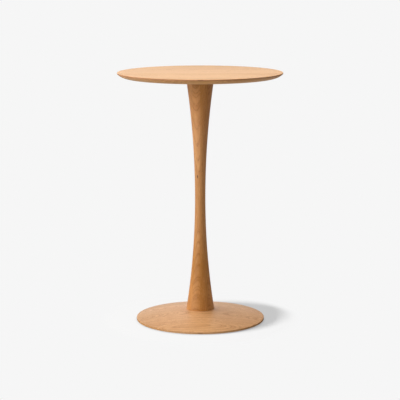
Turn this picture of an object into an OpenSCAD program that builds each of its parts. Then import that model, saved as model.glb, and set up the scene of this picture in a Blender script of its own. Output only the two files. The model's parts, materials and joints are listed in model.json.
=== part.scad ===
// Round bar table in oak: a thin top on one waisted, turned column, on a shallow domed base.
// A steel plate under the top, a long tie rod and a steel ballast plate hold it together,
// and four levelling feet stand in pockets under the base's rim.
// Millimetres, +Z up, with the origin on the floor under the middle of the table.
// The boards run along X.

/* [Table] */
// Height from the floor to the tabletop
table_h = 1070; // [900:1:1150]
// Diameter of the tabletop
top_d = 700; // [600:1:900]
// Diameter of the base
base_d = 550; // [520:1:700]

/* [Tabletop] */
// Thickness of the tabletop
top_t = 22; // [20:0.5:36]
// Height of the upright edge above the undercut
edge_land = 5; // [4:0.5:10]
// Width of the rounded undercut below the edge
undercut_w = 42; // [25:1:70]
// Rounding of the tabletop's two arrises
edge_round = 1.5; // [0.5:0.25:1.75]
// Number of boards glued up into the tabletop
top_boards = 7; // [5:1:9]

/* [Column] */
// Diameter of the column where it meets the top and the base
column_end_d = 120; // [108:1:150]
// Diameter of the column at its waist
waist_d = 44.6; // [40:0.2:60]
// Height of the waist above the floor
waist_z = 535; // [450:1:620]
// Thickness of the boards glued up into the column
column_board_t = 33; // [31:0.5:42]

/* [Base] */
// Height of the base's crown above the floor
base_h = 48; // [44:1:70]
// Gap between the floor and the underside of the base
floor_gap = 4; // [3.5:0.25:4.5]
// Height of the base's upright rim
rim_h = 9; // [8:0.5:12]
// Rounding of the rim's two arrises
rim_round = 2; // [0.5:0.25:3]
// How far the dome stands above a straight cone, halfway up
dome_bulge = 5; // [1:0.5:8]
// Number of boards glued up into the base
base_boards = 6; // [5:1:8]

/* [Steel plate under the top] */
// Diameter of the plate
plate_d = 240; // [220:1:300]
// Thickness of the plate
plate_t = 5; // [4:0.5:6]
// Diameter of the circle of screws that hold the top
plate_pcd = 190; // [160:1:200]
// Number of screws that hold the top
plate_screw_n = 8; // [4:1:10]
// Distance of the column's screws from the middle, along and across the boards
column_screw_at = [20, 34.6];

/* [Screws, inserts and dowels] */
// Thread of the screws that hold the top
top_screw_d = 6; // [5:0.5:8]
// Length of the screws that hold the top
top_screw_l = 15; // [12:0.5:16]
// Outer diameter of the threaded inserts in the top
top_insert_d = 10; // [9:0.5:12]
// Length of the threaded inserts in the top
top_insert_l = 12; // [9:0.5:13]
// Diameter of the wood screws
wood_screw_d = 5; // [4:0.5:6]
// Length of the wood screws in the end of the column
column_screw_l = 45; // [30:1:60]
// Length of the wood screws that hold the ballast plate
ballast_screw_l = 20; // [16:0.5:21]
// Diameter of the dowels between column and base
dowel_d = 10; // [8:0.5:12]
// Length of the dowels
dowel_l = 40; // [30:1:60]
// Depth of the dowels in the base
dowel_in_base = 18; // [10:1:20]
// Distance of the dowels from the middle, along and across the boards
dowel_at = [20, 40];

/* [Tie rod] */
// Thread of the tie rod
rod_d = 12; // [10:0.5:14]
// Radial clearance of the bore that the rod runs in
rod_clearance = 1; // [0.5:0.1:2]
// Diameter of the boss welded under the plate
boss_d = 30; // [26:0.5:36]
// Length of the boss below the plate
boss_l = 22; // [18:1:40]
// Diameter of the boss's spigot in the plate
boss_spigot_d = 20; // [18:0.5:24]
// Thread of the rod in the boss
rod_in_boss = 20; // [15:0.5:22]
// Width of the nut across its flats
nut_af = 18; // [17:0.5:22]
// Height of the thin nut
nut_h = 6; // [5:0.5:6.5]
// Diameter of the washer
washer_d = 24; // [22:0.5:30]
// Thickness of the washer
washer_t = 2.5; // [2:0.1:3]
// How far the rod stands out of the nut
rod_proud = 1; // [0.5:0.25:1.5]

/* [Column joint and ballast] */
// Diameter of the column's tenon
tenon_d = 60; // [50:1:64]
// Length of the column's tenon
tenon_l = 16; // [10:0.5:18]
// Diameter of the ballast plate
ballast_d = 400; // [340:1:410]
// Thickness of the ballast plate
ballast_t = 12; // [10:0.5:13]
// Depth of the recess for the ballast plate in the base's underside
recess_h = 16; // [14:0.5:17]
// Depth of the counterbore for washer and nut in the ballast plate
nut_pocket_h = 6; // [4:0.5:7]
// Diameter of that counterbore
nut_pocket_d = 32; // [30:1:40]
// Diameter of the circle of screws that hold the ballast plate
ballast_pcd = 300; // [200:1:310]
// Number of screws that hold the ballast plate
ballast_screw_n = 6; // [4:1:8]

/* [Levelling feet] */
// Distance of each foot from the middle
foot_r = 226; // [224:0.5:227]
// Diameter of a foot's pad
pad_d = 28; // [24:0.5:29]
// Height of a foot's pad
pad_h = 5; // [4.8:0.1:5.3]
// Thickness of the pad below the stem's head
pad_floor_t = 1.7; // [1:0.1:1.8]
// Depth of the pocket for the foot in the base's underside
pocket_h = 4; // [4:0.1:5]
// Diameter of that pocket
pocket_d = 32; // [30:0.5:33]
// Thread of the foot's stem
stem_d = 8; // [6:0.5:9]
// Threaded length of the stem
stem_l = 11; // [9:0.5:11]
// Width of the stem's hexagon across its flats
stem_af = 13; // [12:0.5:15]
// Height of the stem's hexagon
stem_hex_h = 2.5; // [2:0.1:2.5]
// Diameter of the stem's neck in the pad
neck_d = 6; // [5:0.25:7]
// Diameter of the stem's round head in the pad
head_d = 10; // [9:0.25:12]
// Thickness of that head
head_t = 1.5; // [1:0.1:1.6]
// Outer diameter of the foot's threaded insert
foot_insert_d = 12; // [11:0.5:13]
// Length of the foot's threaded insert
foot_insert_l = 11; // [9:0.5:11]

/* [Clearances] */
// Radial clearance between male and female threads
thread_gap = 0.08; // [0.04:0.01:0.1]
// Clearance of pieces glued, screwed or pressed into wood
wood_gap = 0.1; // [0.05:0.05:0.2]
// Radial clearance of the steel plates in their recesses
plate_gap = 0.9; // [0.5:0.1:0.9]
// Radial clearance of a screw in a steel plate
screw_gap = 0.25; // [0.1:0.05:0.4]
// Play of the stem's head in its pad
swivel_gap = 0.1; // [0.05:0.01:0.1]
// Gap between the stem's hexagon and the pad below it
hex_gap = 0.2; // [0.1:0.05:0.3]

/* [Hidden] */
$fn = 96;
outline_steps = 24;
round_steps = 4;
cut = 1;
foot_n = 4;
foot_angle = 45;
// Share of a countersunk head that is a thin cylinder above its cone
head_land = 0.3;
// Ratio of a countersunk head's diameter to its thread's
head_ratio = 2;
// Share of a thread's radius that is tapered away at a screw's tip
tip_taper = 0.8;
// Bevel on the ends of dowels, rods and machine screws, and on the pads' edges
end_bevel = 1;
// Width and depth of the hexagon socket in a screw, as shares of its thread
socket_af_share = 0.66;
socket_h_share = 0.4;

oak = [0.82, 0.62, 0.42];
oak_dark = [0.74, 0.53, 0.33];
steel = [0.62, 0.63, 0.65];
black_steel = [0.16, 0.16, 0.17];
brass = [0.80, 0.66, 0.36];
nylon = [0.22, 0.20, 0.18];

top_r = top_d/2;
under_z = table_h - top_t;
undercut_h = top_t - edge_land;
undercut_r = (pow(undercut_w, 2) + pow(undercut_h, 2))/(2*undercut_h);
column_end_r = column_end_d/2;
waist_r = waist_d/2;
waist_rise = column_end_r - waist_r;
base_r = base_d/2;
rim_z = floor_gap + rim_h;
dome_w = base_r - rim_round - column_end_r;
dome_edge_angle = atan((base_h - rim_z + 4*dome_bulge)/dome_w);
recess_z = floor_gap + recess_h;
ballast_z = recess_z - ballast_t;
nut_pocket_z = ballast_z + nut_pocket_h;
nut_z = nut_pocket_z - washer_t - nut_h;
rod_bottom_z = nut_z - rod_proud;
rod_top_z = under_z - boss_l + rod_in_boss;
rod_bore_d = rod_d + 2*rod_clearance;
pocket_z = floor_gap + pocket_h;
head_z = pad_floor_t + swivel_gap;
hex_z = pad_h + hex_gap;
thread_z = hex_z + stem_hex_h;
stem_top_z = thread_z + stem_l;

// Points on an arc about [x, z], from angle a0 to a1; first = 1 leaves the starting point out
function arc(x, z, r, a0, a1, steps, first = 0) =
    [for (i = [first:steps]) let (a = a0 + (a1 - a0)*i/steps) [x + r*cos(a), z + r*sin(a)]];

// How far an arc that starts upright has moved sideways after a height of d,
// when it moves by rise over the whole height of run
function flare(d, run, rise) =
    let (r = (pow(run, 2) + pow(rise, 2))/(2*rise)) r - sqrt(pow(r, 2) - pow(d, 2));

// Radius of the column at a height above the floor
function column_r(z) =
    waist_r + flare(abs(z - waist_z), z > waist_z ? under_z - waist_z : waist_z - base_h, waist_rise);

// Tabletop's outline: flat underside, round undercut, eased edge, flat face
function top_outline() = let (
        nose_x = undercut_w - edge_round,
        nose_z = -sqrt(pow(undercut_r - edge_round, 2) - pow(nose_x, 2)),
        nose_a = atan2(nose_z, nose_x),
        foot_x = top_r - undercut_w,
        foot_z = under_z + undercut_r
    ) concat(
        [[0, under_z]],
        arc(foot_x, foot_z, undercut_r, -90, nose_a, 2*round_steps),
        arc(foot_x + nose_x, foot_z + nose_z, edge_round, nose_a, 0, round_steps, 1),
        arc(top_r - edge_round, table_h - edge_round, edge_round, 0, 90, round_steps),
        [[0, table_h]]
    );

// Points on the column's outline between two heights; first = 1 leaves the starting point out
function column_points(z0, z1, first = 0) =
    [for (i = [first:outline_steps]) let (z = z0 + (z1 - z0)*i/outline_steps) [column_r(z), z]];

// Column's outline: two arcs that are upright where they meet at the waist
function column_outline() = concat(
        [[0, base_h]],
        column_points(base_h, waist_z),
        column_points(waist_z, under_z, 1),
        [[0, under_z]]
    );

// Base's outline: flat underside, eased rim, shallow dome up to the foot of the column
function base_outline() = let (
        edge_x = base_r - rim_round + rim_round*sin(dome_edge_angle),
        edge_z = rim_z - rim_round + rim_round*cos(dome_edge_angle),
        steps = outline_steps/2
    ) concat(
        [[0, floor_gap]],
        arc(base_r - rim_round, floor_gap + rim_round, rim_round, -90, 0, round_steps),
        arc(base_r - rim_round, rim_z - rim_round, rim_round, 0, 90 - dome_edge_angle, round_steps),
        [for (i = [1:steps]) let (t = i/steps) [
            edge_x + (column_end_r - edge_x)*t,
            edge_z + (base_h - edge_z)*t + 4*dome_bulge*t*(1 - t)
        ]],
        [[0, base_h]]
    );

// One of several equal boards that run along X and make up a disc
module board(i, count, d, z0, z1)
    translate([-d, -d/2 + (i - 1)*d/count, z0 - cut]) cube([2*d, d/count, z1 - z0 + 2*cut]);

// A slab of the column's glue-up, from x0 to x1
module slab(x0, x1, z0, z1)
    translate([min(x0, x1), -column_end_d, z0]) cube([abs(x1 - x0), 2*column_end_d, z1 - z0]);

module on_circle(d, count, start)
    for (i = [0:count - 1]) rotate(start + 360*i/count) translate([d/2, 0, 0]) children();

module at_foot(i)
    rotate(foot_angle + 360*(i - 1)/foot_n) translate([foot_r, 0, 0]) children();

// Rod with bevelled ends, standing on z = 0
module bevelled_rod(d, l)
    rotate_extrude() polygon([
        [0, 0], [d/2 - end_bevel, 0], [d/2, end_bevel],
        [d/2, l - end_bevel], [d/2 - end_bevel, l], [0, l]
    ]);

// Countersunk screw with its head's face at z = 0 and its tip up; gap widens it into its hole
module screw_body(d, l, tip, gap = 0)
    rotate_extrude() polygon([
        [0, -gap], [d*head_ratio/2 + gap, -gap], [d*head_ratio/2 + gap, head_land],
        [d/2 + gap, head_land + d*(head_ratio - 1)/2], [d/2 + gap, l - tip],
        [d/2 + gap - min(tip, d/2)*tip_taper, l + gap], [0, l + gap]
    ]);

module socket_screw(d, l, tip)
    difference() {
        screw_body(d, l, tip);
        translate([0, 0, -cut]) cylinder(d = d*socket_af_share/cos(30), h = cut + d*socket_h_share, $fn = 6);
    }

// Through hole for a countersunk screw in a plate of thickness t
module screw_hole(d, t)
    rotate_extrude() polygon([
        [0, -cut], [d*head_ratio/2 + screw_gap, -cut], [d*head_ratio/2 + screw_gap, head_land],
        [d/2 + screw_gap, head_land + d*(head_ratio - 1)/2], [d/2 + screw_gap, t + cut], [0, t + cut]
    ]);

module top_screw_places()
    translate([0, 0, under_z]) on_circle(plate_pcd, plate_screw_n, 180/plate_screw_n) children();

// The column's screws go down from the plate's upper face, one in each quarter
module column_screw_places()
    for (sx = [-1, 1], sy = [-1, 1])
        translate([sx*column_screw_at.x, sy*column_screw_at.y, under_z + plate_t])
            mirror([0, 0, 1]) children();

module ballast_screw_places()
    translate([0, 0, ballast_z]) on_circle(ballast_pcd, ballast_screw_n, 180/ballast_screw_n) children();

module dowel_places()
    for (s = [-1, 1]) translate([s*dowel_at.x, s*dowel_at.y, base_h - dowel_in_base]) children();

module turned_top() rotate_extrude() polygon(top_outline());

module turned_base() rotate_extrude() polygon(base_outline());

// The whole column as it leaves the lathe, with its tenon and everything bored into it
module turned_column()
    difference() {
        union() {
            rotate_extrude() polygon(column_outline());
            translate([0, 0, base_h - tenon_l]) cylinder(d = tenon_d, h = tenon_l + cut);
        }
        translate([0, 0, base_h - tenon_l - cut])
            cylinder(d = rod_bore_d, h = under_z - base_h + tenon_l + 2*cut);
        translate([0, 0, under_z - boss_l - wood_gap])
            cylinder(d = boss_d + 2*wood_gap, h = boss_l + wood_gap + cut);
        column_screw_places() screw_body(wood_screw_d, column_screw_l, wood_screw_d, wood_gap);
        dowel_places() cylinder(d = dowel_d + 2*wood_gap, h = dowel_l + wood_gap);
    }

module top_board(i)
    color(oak) difference() {
        intersection() {
            turned_top();
            board(i, top_boards, top_d, under_z, table_h);
        }
        translate([0, 0, under_z - cut]) cylinder(d = plate_d + 2*plate_gap, h = plate_t + cut);
        top_screw_places() cylinder(d = top_insert_d + 2*wood_gap, h = plate_t + top_insert_l + wood_gap);
    }

module top_plate()
    color(black_steel) difference() {
        translate([0, 0, under_z]) cylinder(d = plate_d, h = plate_t);
        translate([0, 0, under_z - cut]) cylinder(d = boss_spigot_d + 2*wood_gap, h = plate_t + 2*cut);
        top_screw_places() screw_hole(top_screw_d, plate_t);
        column_screw_places() screw_hole(wood_screw_d, plate_t);
    }

module plate_boss()
    color(black_steel) difference() {
        union() {
            translate([0, 0, under_z - boss_l]) cylinder(d = boss_d, h = boss_l);
            translate([0, 0, under_z - cut]) cylinder(d = boss_spigot_d, h = plate_t + cut);
        }
        translate([0, 0, under_z - boss_l - cut])
            cylinder(d = rod_d + 2*thread_gap, h = rod_in_boss + thread_gap + cut);
    }

module top_inserts()
    color(brass) top_screw_places() translate([0, 0, plate_t]) difference() {
        cylinder(d = top_insert_d, h = top_insert_l);
        translate([0, 0, -cut]) cylinder(d = top_screw_d + 2*thread_gap, h = top_insert_l + 2*cut);
    }

module top_screws() color(steel) top_screw_places() socket_screw(top_screw_d, top_screw_l, end_bevel);

module column_screws()
    color(steel) column_screw_places() socket_screw(wood_screw_d, column_screw_l, wood_screw_d);

module column_core(side)
    color(oak) intersection() {
        turned_column();
        slab(0, side*column_board_t, base_h - tenon_l - cut, under_z + cut);
    }

// The outer boards are turned away at the waist, so each leaves a cheek above and one below
module cheek(side, z0, z1)
    color(oak_dark) intersection() {
        turned_column();
        slab(side*column_board_t, side*column_end_d, z0, z1);
    }

module base_dowels() color(oak_dark) dowel_places() bevelled_rod(dowel_d, dowel_l);

module tie_rod()
    color(steel) translate([0, 0, rod_bottom_z]) bevelled_rod(rod_d, rod_top_z - rod_bottom_z);

module rod_washer()
    color(steel) translate([0, 0, nut_pocket_z - washer_t]) difference() {
        cylinder(d = washer_d, h = washer_t);
        translate([0, 0, -cut]) cylinder(d = rod_d + 2*screw_gap, h = washer_t + 2*cut);
    }

module rod_nut()
    color(steel) translate([0, 0, nut_z]) difference() {
        cylinder(d = nut_af/cos(30), h = nut_h, $fn = 6);
        translate([0, 0, -cut]) cylinder(d = rod_d + 2*thread_gap, h = nut_h + 2*cut);
    }

module base_board(i)
    color(oak) difference() {
        intersection() {
            turned_base();
            board(i, base_boards, base_d, floor_gap, base_h);
        }
        translate([0, 0, floor_gap - cut]) cylinder(d = ballast_d + 2*plate_gap, h = recess_h + cut);
        translate([0, 0, base_h - tenon_l - wood_gap])
            cylinder(d = tenon_d + 2*wood_gap, h = tenon_l + wood_gap + cut);
        translate([0, 0, floor_gap]) cylinder(d = rod_bore_d, h = base_h);
        dowel_places() translate([0, 0, -wood_gap]) cylinder(d = dowel_d + 2*wood_gap, h = dowel_l);
        ballast_screw_places() screw_body(wood_screw_d, ballast_screw_l, wood_screw_d, wood_gap);
        for (k = [1:foot_n]) at_foot(k) {
            translate([0, 0, floor_gap - cut]) cylinder(d = pocket_d, h = pocket_h + cut);
            translate([0, 0, floor_gap])
                cylinder(d = foot_insert_d + 2*wood_gap, h = pocket_h + foot_insert_l + wood_gap);
        }
    }

module ballast_plate()
    color(black_steel) difference() {
        translate([0, 0, ballast_z]) cylinder(d = ballast_d, h = ballast_t);
        translate([0, 0, ballast_z - cut]) cylinder(d = nut_pocket_d, h = nut_pocket_h + cut);
        translate([0, 0, ballast_z]) cylinder(d = rod_d + 2*screw_gap, h = ballast_t + cut);
        ballast_screw_places() screw_hole(wood_screw_d, ballast_t);
    }

module ballast_screws()
    color(steel) ballast_screw_places() socket_screw(wood_screw_d, ballast_screw_l, wood_screw_d);

module foot_inserts()
    color(brass) for (k = [1:foot_n]) at_foot(k) translate([0, 0, pocket_z]) difference() {
        cylinder(d = foot_insert_d, h = foot_insert_l);
        translate([0, 0, -cut]) cylinder(d = stem_d + 2*thread_gap, h = foot_insert_l + 2*cut);
    }

// Threaded stem with a hexagon for a spanner and a round head that turns in the pad
module foot_stem(k)
    color(steel) at_foot(k) union() {
        translate([0, 0, head_z]) cylinder(d = head_d, h = head_t);
        translate([0, 0, head_z]) cylinder(d = neck_d, h = hex_z - head_z + stem_hex_h/2);
        translate([0, 0, hex_z]) cylinder(d = stem_af/cos(30), h = stem_hex_h, $fn = 6);
        translate([0, 0, hex_z + stem_hex_h/2]) cylinder(d = stem_d, h = stem_hex_h/2 + stem_l);
    }

// Nylon pad, snapped over the stem's head
module foot_pad(k)
    color(nylon) at_foot(k) difference() {
        rotate_extrude() polygon([
            [0, 0], [pad_d/2 - end_bevel, 0], [pad_d/2, end_bevel],
            [pad_d/2, pad_h - end_bevel], [pad_d/2 - end_bevel, pad_h], [0, pad_h]
        ]);
        translate([0, 0, pad_floor_t]) cylinder(d = head_d + 2*swivel_gap, h = head_t + 2*swivel_gap);
        translate([0, 0, pad_floor_t]) cylinder(d = neck_d + 2*swivel_gap, h = pad_h);
    }

for (i = [1:top_boards])
    top_board(i);
top_plate();
plate_boss();
top_inserts();
top_screws();
column_screws();
column_core(-1);  // column_core_left
column_core(1);  // column_core_right
cheek(-1, waist_z, under_z);  // upper_cheek_left
cheek(1, waist_z, under_z);  // upper_cheek_right
cheek(-1, base_h, waist_z);  // lower_cheek_left
cheek(1, base_h, waist_z);  // lower_cheek_right
base_dowels();
tie_rod();
rod_washer();
rod_nut();
for (i = [1:base_boards])
    base_board(i);
ballast_plate();
ballast_screws();
foot_inserts();
for (k = [1:foot_n])
    foot_stem(k);
for (k = [1:foot_n])
    foot_pad(k);
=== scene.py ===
# %% [markdown]
# A round bar table in light oak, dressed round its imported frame.
#
# The table is a thin round top on one turned column that narrows to a waist, and a shallow domed
# base, all glued up from boards. This lesson builds each board as its own surface with numpy, gives
# it the growth rings of its own log, and adds the metal, the nylon, the materials and the light.
#
# The frame comes first, because it says where every piece sits. All sizes are in metres.

# %% Load the frame
import json

import bmesh
import bpy
import numpy as np
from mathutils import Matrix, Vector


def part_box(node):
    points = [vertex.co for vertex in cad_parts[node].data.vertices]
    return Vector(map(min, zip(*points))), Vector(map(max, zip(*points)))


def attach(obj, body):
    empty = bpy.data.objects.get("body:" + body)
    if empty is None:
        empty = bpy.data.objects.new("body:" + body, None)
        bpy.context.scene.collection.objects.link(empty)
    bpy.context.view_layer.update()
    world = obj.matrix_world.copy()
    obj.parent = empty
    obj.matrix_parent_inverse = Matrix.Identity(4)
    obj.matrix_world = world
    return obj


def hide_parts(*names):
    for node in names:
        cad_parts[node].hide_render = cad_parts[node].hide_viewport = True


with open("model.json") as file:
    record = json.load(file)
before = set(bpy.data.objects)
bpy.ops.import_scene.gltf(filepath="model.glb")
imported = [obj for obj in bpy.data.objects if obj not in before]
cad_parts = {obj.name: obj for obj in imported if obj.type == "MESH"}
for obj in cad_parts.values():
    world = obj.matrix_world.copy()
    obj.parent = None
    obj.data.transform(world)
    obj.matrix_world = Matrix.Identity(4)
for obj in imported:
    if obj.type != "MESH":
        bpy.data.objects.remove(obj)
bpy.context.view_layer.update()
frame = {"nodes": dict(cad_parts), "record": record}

# %% [markdown]
# Sizes repeated as bare numbers go wrong when the model changes, so the main ones are measured from
# the frame's nodes. What a box can't tell, such as the column's waist, follows as named values.


# %% Measure the frame
def span(*nodes):
    """Lowest and highest corner of the named nodes together, as two arrays."""
    corners = np.array([[list(corner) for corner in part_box(node)] for node in nodes])
    return corners[:, 0].min(axis=0), corners[:, 1].max(axis=0)


def numbered(stem):
    """Names of all nodes that start with stem, in order."""
    return sorted(name for name in frame["nodes"] if name.startswith(stem))


TOP_BOARDS = numbered("top_board_")
BASE_BOARDS = numbered("base_board_")
FOOT_PADS = numbered("foot_pad_")
FOOT_STEMS = numbered("foot_stem_")

top_low, top_high = span(*TOP_BOARDS)
base_low, base_high = span(*BASE_BOARDS)
core_low, core_high = span("column_core_right")
top_radius, underside, tabletop = top_high[0], top_low[2], top_high[2]
base_radius, base_underside, crown = base_high[0], base_low[2], base_high[2]
core_width, column_end, tenon_end = core_high[0], core_high[1], core_low[2]
print("tabletop", round(tabletop, 4), "radius", round(top_radius, 4), "base", round(base_radius, 4))

# %% Sizes that a box can't tell
EDGE_LAND = 0.005
UNDERCUT_WIDTH = 0.042
EDGE_ROUND = 0.0015
WAIST_RADIUS = 0.0223
WAIST_HEIGHT = 0.535
RIM_HEIGHT = 0.009
RIM_ROUND = 0.002
DOME_BULGE = 0.005
TENON_RADIUS = 0.030
ROD_BORE = 0.007
print("waist", round(2000 * WAIST_RADIUS, 1), "mm thick,", WAIST_HEIGHT, "m up")

# %% [markdown]
# The photograph was taken from six metres away, slightly above the tabletop, through a long lens. A
# camera fitted to the outlines of top, column and base gives its place, its tilt, a slight roll and
# its focal length in pixels of the 400 pixel frame, here turned into a lens for a 36 mm sensor.

# %% Set up the camera
FRAME_WIDTH = 400
FOCAL_LENGTH = 1509
SENSOR_WIDTH = 36.0
CAMERA_PLACE = (0.0, -6.360, 1.621)
CAMERA_PITCH = 9.793
CAMERA_ROLL = 0.05
FAR_CLIP = 500


def add_object(name, data):
    """A new object of the scene, at the origin."""
    thing = bpy.data.objects.new(name, data)
    bpy.context.scene.collection.objects.link(thing)
    return thing


camera = add_object("camera", bpy.data.cameras.new("camera"))
camera.data.sensor_fit = "HORIZONTAL"
camera.data.sensor_width = SENSOR_WIDTH
camera.data.lens = FOCAL_LENGTH / FRAME_WIDTH * SENSOR_WIDTH
camera.data.clip_end = FAR_CLIP
camera.location = CAMERA_PLACE
camera.rotation_euler = (np.radians(90 - CAMERA_PITCH), np.radians(CAMERA_ROLL), 0)
bpy.context.scene.camera = camera
print("lens", round(camera.data.lens, 1), "mm")

# %% [markdown]
# Most pieces are skins over a stack of closed loops: the cross-sections of a board from its front
# face to its back face, or of the column from floor to top. As whole arrays that is one line: each
# corner is joined to its neighbour in the loop and to the same corner of the next loop.
#
# Where a cross-section shrinks to a line or a point, corners fall on each other. They are merged
# afterwards, so every piece comes out closed: the printed count of open edges has to be zero, and
# the volume above zero, or the faces would look inwards.

# %% Skin a stack of loops
MERGE_DISTANCE = 4e-7
SHARP_ANGLE = 33


def skin(loops, cap_first=True, cap_last=True, ring=False):
    """Faces over loops, an array of (loop, corner, xyz): four-sided between neighbouring loops,
    and one flat face over each end that is capped. With ring, the last loop joins the first."""
    count, corners = loops.shape[:2]
    index = np.arange(count * corners).reshape(count, corners)
    rows = np.concatenate([index, index[:1]]) if ring else index
    ahead = np.roll(rows, -1, axis=1)
    quads = np.stack([rows[:-1], ahead[:-1], ahead[1:], rows[1:]], axis=-1).reshape(-1, 4).tolist()
    if cap_first:
        quads.append(index[0, ::-1].tolist())
    if cap_last:
        quads.append(index[-1].tolist())
    return loops.reshape(-1, 3), quads


def add_piece(name, surface):
    """One object from the points and faces of a surface, merged, closed and facing outwards."""
    points, faces = surface
    mesh = bpy.data.meshes.new(name)
    mesh.from_pydata(points.tolist(), [], faces)
    work = bmesh.new()
    work.from_mesh(mesh)
    bmesh.ops.remove_doubles(work, verts=work.verts, dist=MERGE_DISTANCE)
    bmesh.ops.dissolve_degenerate(work, edges=work.edges, dist=MERGE_DISTANCE / 10)
    bmesh.ops.recalc_face_normals(work, faces=work.faces)
    litres = round(work.calc_volume(signed=True) * 1000, 4)
    work.to_mesh(mesh)
    work.free()
    mesh.polygons.foreach_set("use_smooth", np.ones(len(mesh.polygons), bool))
    mesh.set_sharp_from_angle(angle=np.radians(SHARP_ANGLE))
    print(name, "faces", len(mesh.polygons), "open edges", open_edges(mesh), "litres", litres)
    return add_object(name, mesh)


def open_edges(mesh):
    """Number of edges that don't lie between exactly two faces."""
    edge_of_corner = np.empty(len(mesh.loops), np.int32)
    mesh.loops.foreach_get("edge_index", edge_of_corner)
    return int(np.sum(np.bincount(edge_of_corner, minlength=len(mesh.edges)) != 2))


# %% [markdown]
# A disc on a lathe is known by its outline, half a cross-section. The top's runs along the flat
# underside, through the round undercut that makes the edge look thin, over the eased edge and onto
# the face. The base's is an upright rim with two eased arrises and a dome. Each is kept as a branch
# out to the widest point and one back in, because the next step looks up heights in both.

# %% Outlines of the top and the base
PLACES = 6


def arc_points(centre_r, centre_z, radius, start, stop, steps):
    """Points on a circle: the centre plus radius times cosine and sine of evenly spaced angles."""
    angle = np.radians(np.linspace(start, stop, steps + 1))
    return np.column_stack([centre_r + radius * np.cos(angle), centre_z + radius * np.sin(angle)])


def top_outline():
    """Lower and upper branch of the tabletop. The undercut's radius is (width squared plus height
    squared) over twice the height, and a small round is fitted inside its outer end."""
    height = tabletop - underside - EDGE_LAND
    radius = (UNDERCUT_WIDTH**2 + height**2) / (2 * height)
    nose_r = UNDERCUT_WIDTH - EDGE_ROUND
    nose_z = -np.sqrt((radius - EDGE_ROUND) ** 2 - nose_r**2)
    nose_angle = np.degrees(np.arctan2(nose_z, nose_r))
    foot_r, foot_z = top_radius - UNDERCUT_WIDTH, underside + radius
    undercut = arc_points(foot_r, foot_z, radius, -90, nose_angle, 28)
    nose = arc_points(foot_r + nose_r, foot_z + nose_z, EDGE_ROUND, nose_angle, 0, 6)
    upper = arc_points(top_radius - EDGE_ROUND, tabletop - EDGE_ROUND, EDGE_ROUND, 0, 90, 8)
    return np.round(np.concatenate([undercut, nose[1:]]), PLACES), np.round(upper, PLACES)


def base_outline():
    """Lower and upper branch of the base. The dome is a straight slope from rim to crown plus
    4 times the bulge times t times (1 - t), where t goes from 0 at the rim to 1 at the crown."""
    rim_top = base_underside + RIM_HEIGHT
    dome_width = base_radius - RIM_ROUND - column_end
    slope = np.degrees(np.arctan((crown - rim_top + 4 * DOME_BULGE) / dome_width))
    centre_r = base_radius - RIM_ROUND
    lower = arc_points(centre_r, base_underside + RIM_ROUND, RIM_ROUND, -90, 0, 6)
    rim = arc_points(centre_r, rim_top - RIM_ROUND, RIM_ROUND, 0, 90 - slope, 6)
    t = np.linspace(0, 1, 49)[1:]
    edge_r, edge_z = rim[-1]
    dome_z = edge_z + (crown - edge_z) * t + 4 * DOME_BULGE * t * (1 - t)
    dome = np.column_stack([edge_r + (column_end - edge_r) * t, dome_z])
    return np.round(lower, PLACES), np.round(np.concatenate([rim, dome]), PLACES)


outline_counts = [sum(map(len, outline)) for outline in (top_outline(), base_outline())]
print("outline points of top and base", outline_counts)

# %% [markdown]
# A board of a round top is the disc between two straight glue lines. A boolean could cut it out, but
# leaves ragged triangles. Instead the disc is sliced on planes of constant y. On the plane at y, an
# outline point of radius r lies at x = plus or minus the root of r squared minus y squared.
#
# Round recesses take the plate, the ballast and the feet. On each plane a recess is a notch in the
# bottom line, added as a few corners. A plane that misses it gets the same corners folded together,
# and the merge removes them. They are folded outside the wide recess in the middle, or they would
# pull a flap of wood across it.

# %% Slice a disc into boards
ANGLE_STEP = 1.5
RECESS_STEP = 7.5
LIP = 2e-5


def stations(low, high, outline, recesses):
    """The y values of the planes: even angles round the disc, each radius of the outline, both
    glue faces, and finer ones across each recess. Two planes a hair apart give each recess an
    upright end wall."""
    radii = np.concatenate(outline)[:, 0]
    disc_sweep = np.sin(np.radians(np.arange(-90, 90 + ANGLE_STEP / 2, ANGLE_STEP)))
    recess_sweep = np.sin(np.radians(np.arange(-90 + RECESS_STEP, 90, RECESS_STEP)))
    values = [radii.max() * disc_sweep, radii, -radii, [low, high]]
    for centre_x, centre_y, steps in recesses:
        for radius, ceiling in steps:
            ends = centre_y + np.array([-radius, radius])
            values += [centre_y + radius * recess_sweep, ends - LIP, ends + LIP]
    values = np.unique(np.round(np.concatenate(values), PLACES))
    return values[(values >= low) & (values <= high)]


def half_chord(y, centre_y, radius):
    """Half the width of a circle on each plane, by Pythagoras, and 0 on a plane that misses it."""
    return np.sqrt(np.clip(radius**2 - (y - centre_y) ** 2, 0, None))


def notch(y, level, recess, middle_half):
    """Corners of a stepped round recess on each plane, from left to right, as x and z columns.
    middle_half is half the width of the recess in the middle."""
    centre_x, centre_y, steps = recess
    folded_x = np.sign(centre_x) * np.maximum(abs(centre_x), middle_half)
    centre_x = np.where(np.abs(y - centre_y) < steps[0][0], centre_x, folded_x)
    half_widths, heights = [], []
    for radius, ceiling in steps:
        half = half_chord(y, centre_y, radius)
        above = np.where(half > 0, ceiling, level)
        half_widths += [half, half]
        heights += [level, above]
        level = above
    x = [centre_x - half for half in half_widths] + [centre_x + half for half in half_widths[::-1]]
    return np.stack(x, axis=1), np.stack(heights + heights[::-1], axis=1)


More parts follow.
